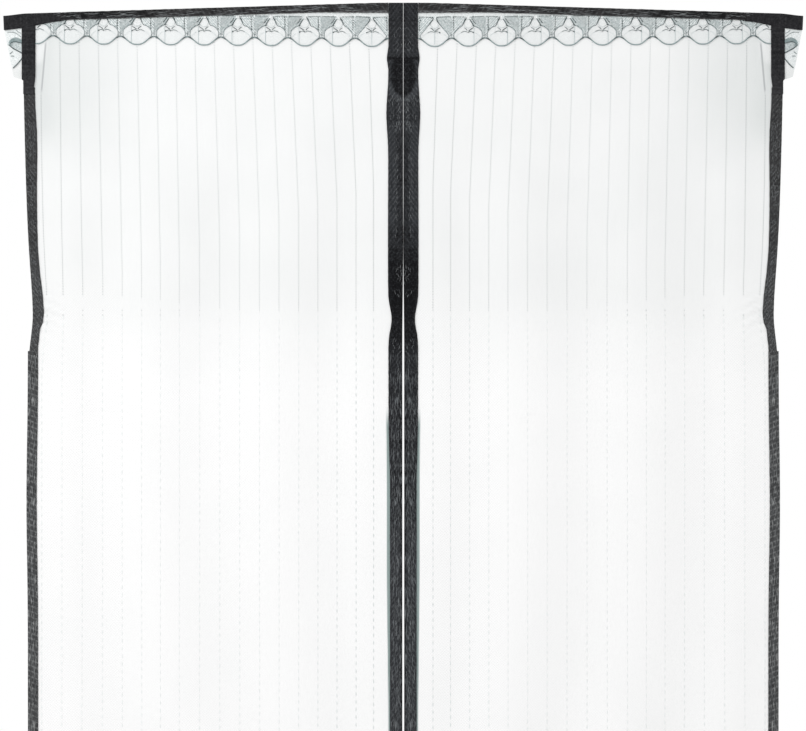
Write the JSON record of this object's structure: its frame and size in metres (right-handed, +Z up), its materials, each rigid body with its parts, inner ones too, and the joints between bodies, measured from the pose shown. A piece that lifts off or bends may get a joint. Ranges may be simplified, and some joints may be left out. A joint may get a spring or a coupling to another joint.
{
  "type": "magnetic insect screen",
  "caption": "Door insect screen of two white striped net curtains with scalloped lace, black edge tapes and magnets that close the middle slit",
  "frame": {"origin": "the slit between the curtains, at the height of the lower hem and in the plane of the net", "axes": "+Z up, +X to the right as seen from the front, front face towards -Y"},
  "size_m": [1, 0.0068, 2.1],
  "materials": {
    "net": "fine white knitted net with grey stitched stripes",
    "lace": "grey-green scalloped lace",
    "fibre_tape": "black tape with lighter fibres",
    "matte_tape": "matte black tape",
    "magnet": "plain bar magnet"
  },
  "bodies": {
    "root": {"net_panel_left": "net", "net_panel_right": "net", "lace_trim_left": "lace", "lace_trim_right": "lace", "header_tape_left": "fibre_tape", "header_tape_right": "fibre_tape", "header_end_tab_left": "matte_tape", "header_end_tab_right": "matte_tape", "corner_strap_left": "matte_tape", "corner_strap_right": "matte_tape", "side_binding_upper_left": "matte_tape", "side_binding_upper_right": "matte_tape", "side_binding_lower_left": "fibre_tape", "side_binding_lower_right": "fibre_tape", "centre_band_left": "fibre_tape", "centre_band_right": "fibre_tape", "bottom_hem_left": "fibre_tape", "bottom_hem_right": "fibre_tape", "magnet_left_1": "magnet", "magnet_left_2": "magnet", "magnet_left_3": "magnet", "magnet_left_4": "magnet", "magnet_left_5": "magnet", "magnet_left_6": "magnet", "magnet_left_7": "magnet", "magnet_left_8": "magnet", "magnet_right_1": "magnet", "magnet_right_2": "magnet", "magnet_right_3": "magnet", "magnet_right_4": "magnet", "magnet_right_5": "magnet", "magnet_right_6": "magnet", "magnet_right_7": "magnet", "magnet_right_8": "magnet"}
  },
  "joints": []
}
